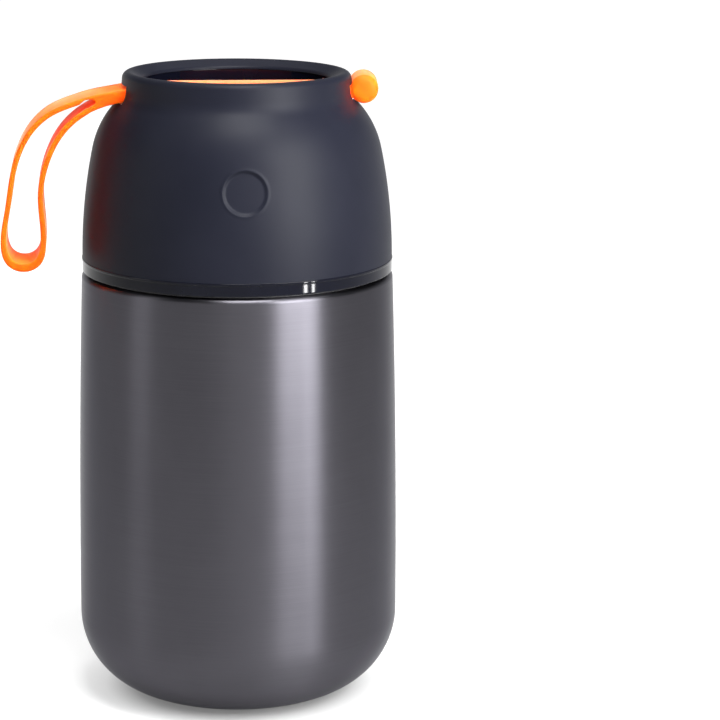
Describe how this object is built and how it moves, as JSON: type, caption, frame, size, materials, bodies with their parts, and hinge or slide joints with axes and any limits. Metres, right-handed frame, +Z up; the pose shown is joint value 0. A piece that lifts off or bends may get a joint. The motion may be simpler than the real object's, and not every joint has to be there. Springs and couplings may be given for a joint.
{
  "type": "insulated food jar",
  "caption": "Double-walled steel food jar with a vented screw stopper and a soft-touch screw-on bowl lid carried by a silicone strap with a loop and a toggle.",
  "frame": {"origin": "centre of the face the jar rests on, on the jar's axis", "axes": "+Z up along the jar's axis; +X through the lid's strap slots towards the toggle; the roundel on the lid faces -Y"},
  "size_m": [0.1282, 0.1046, 0.205],
  "materials": {
    "brushed_steel_skin": "satin",
    "polished_steel": "polished",
    "solder": "satin",
    "pad_rubber": "matte",
    "seal_silicone": "satin",
    "lid_seal_silicone": "matte",
    "dark_plastic": "satin",
    "foam": "matte",
    "gloss_black": "gloss",
    "button_plastic": "satin",
    "soft_touch": "matte",
    "strap_silicone": "satin"
  },
  "bodies": {
    "root": {"outer_shell": "brushed_steel_skin", "inner_vessel": "polished_steel", "base_plate": "polished_steel", "vacuum_plug": "solder", "base_pad": "pad_rubber", "getter": "solder", "collar_gasket": "seal_silicone", "neck_collar": "dark_plastic"},
    "stopper_ring": {"stopper_seal": "seal_silicone"},
    "stopper": {"stopper_body": "dark_plastic", "stopper_insulation": "foam", "stopper_base": "dark_plastic", "button_bezel": "gloss_black", "valve_spring": "polished_steel"},
    "button": {"pressure_button": "button_plastic", "valve_stem": "dark_plastic", "valve_seal": "seal_silicone", "stem_clip": "polished_steel"},
    "lid_ring": {"lid_seal": "lid_seal_silicone"},
    "lid": {"lid_shell": "soft_touch", "recess_cup": "gloss_black", "bowl_liner": "gloss_black"},
    "strap": {"strap_band": "strap_silicone"},
    "loop": {"strap_loop": "strap_silicone"}
  },
  "joints": [
    {"name": "stopper_lift", "type": "slide", "parent": "root", "child": "stopper_ring", "axis": [0, 0, 1], "range_m": [0, 0.0481]},
    {"name": "stopper_turn", "type": "hinge", "parent": "stopper_ring", "child": "stopper", "pos_m": [0, 0, 0.158], "axis": [0, 0, 1], "range_deg": [0, 1440]},
    {"name": "button_press", "type": "slide", "parent": "stopper", "child": "button", "axis": [0, 0, -1], "range_m": [0, 0.002], "stiffness_N_per_m": 800, "springref_m": -0.002, "deforming": ["valve_spring"]},
    {"name": "lid_lift", "type": "slide", "parent": "stopper", "child": "lid_ring", "axis": [0, 0, 1], "range_m": [0, 0.0481]},
    {"name": "lid_turn", "type": "hinge", "parent": "lid_ring", "child": "lid", "pos_m": [0, 0, 0.15], "axis": [0, 0, 1], "range_deg": [0, 1440]},
    {"name": "strap_slide", "type": "slide", "parent": "lid", "child": "strap", "axis": [1, 0, 0], "range_m": [0, 0.003]},
    {"name": "loop_swing", "type": "hinge", "parent": "strap", "child": "loop", "pos_m": [-0.0444, 0, 0.19772], "axis": [0, 1, 0], "range_deg": [-6, 105], "stiffness_Nm_per_rad": 0.06, "springref_deg": 1.11}
  ],
  "couplings": [
    {"joint": "stopper_lift", "follows": "stopper_turn", "m_per_rad": 0.0019099},
    {"joint": "lid_lift", "follows": "lid_turn", "m_per_rad": 0.0019099}
  ]
}
